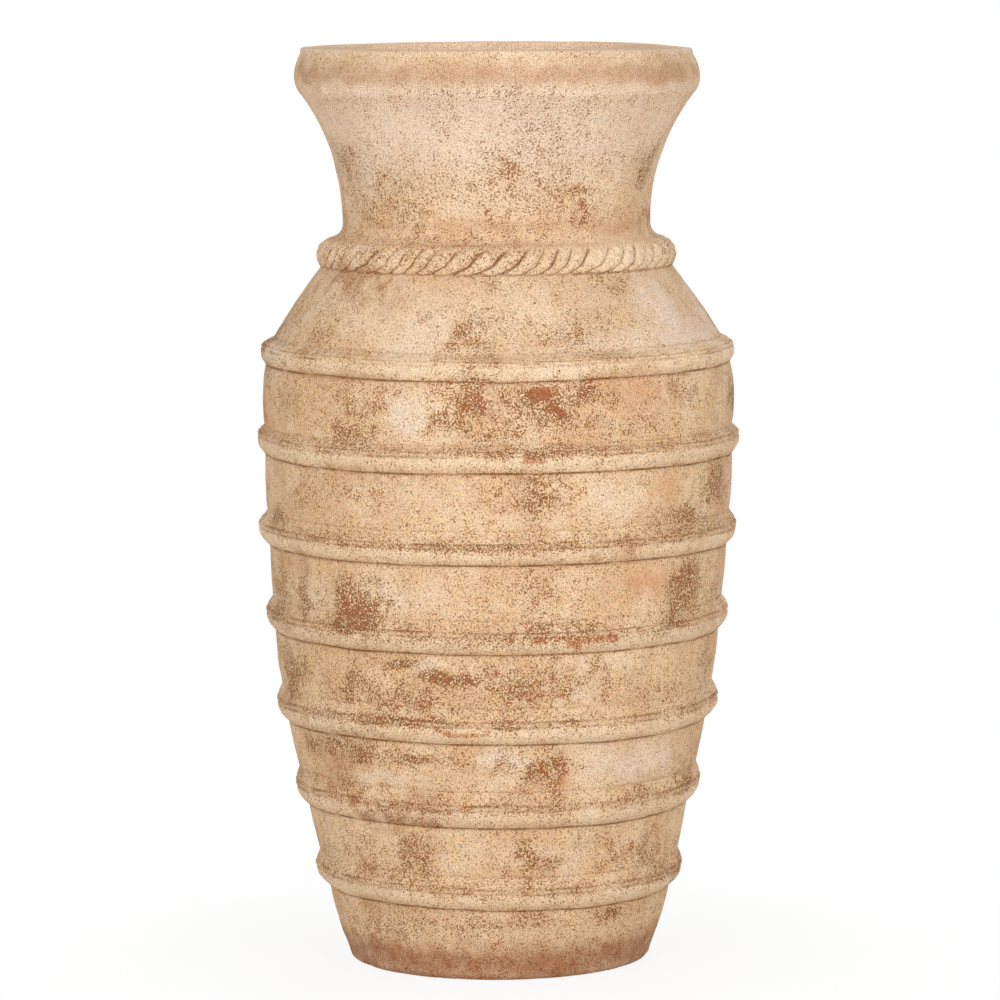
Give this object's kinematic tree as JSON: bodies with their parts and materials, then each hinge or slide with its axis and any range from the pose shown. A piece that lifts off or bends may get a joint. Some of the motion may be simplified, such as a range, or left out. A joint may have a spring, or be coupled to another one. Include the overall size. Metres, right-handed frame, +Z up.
{
  "type": "pithos",
  "caption": "Tall coil-built clay storage jar with banded body, twisted cordon, flaring neck and heavy flat rim.",
  "frame": {"origin": "centre of the flat underside, on the jar's axis", "axes": "+Z up the jar's axis to the mouth; the jar is round about Z, and the pictured side faces -Y"},
  "size_m": [0.4757, 0.4758, 0.9],
  "materials": {
    "washed_terracotta": "coarse fired earthenware under a thin, worn, cream lime wash",
    "worn_bands": "pressed clay strips, wash worn pale on the crest and brown in the corners",
    "rim_terracotta": "weathered, darker wash, worn pale along the edges",
    "bare_foot": "wash worn thin, stained brown by the ground",
    "inside_clay": "unwashed fired clay, finger-smoothed"
  },
  "bodies": {
    "root": {"base_slab": "bare_foot", "floor_luting_coil": "inside_clay", "foot_section": "bare_foot", "wall_section_1": "washed_terracotta", "wall_section_2": "washed_terracotta", "wall_section_3": "washed_terracotta", "wall_section_4": "washed_terracotta", "wall_section_5": "washed_terracotta", "wall_section_6": "washed_terracotta", "shoulder_section": "washed_terracotta", "neck_section": "washed_terracotta", "rim_coil": "rim_terracotta", "band_1": "worn_bands", "band_2": "worn_bands", "band_3": "worn_bands", "band_4": "worn_bands", "band_5": "worn_bands", "band_6": "worn_bands", "band_7": "worn_bands", "rope_cordon": "worn_bands"}
  },
  "joints": []
}
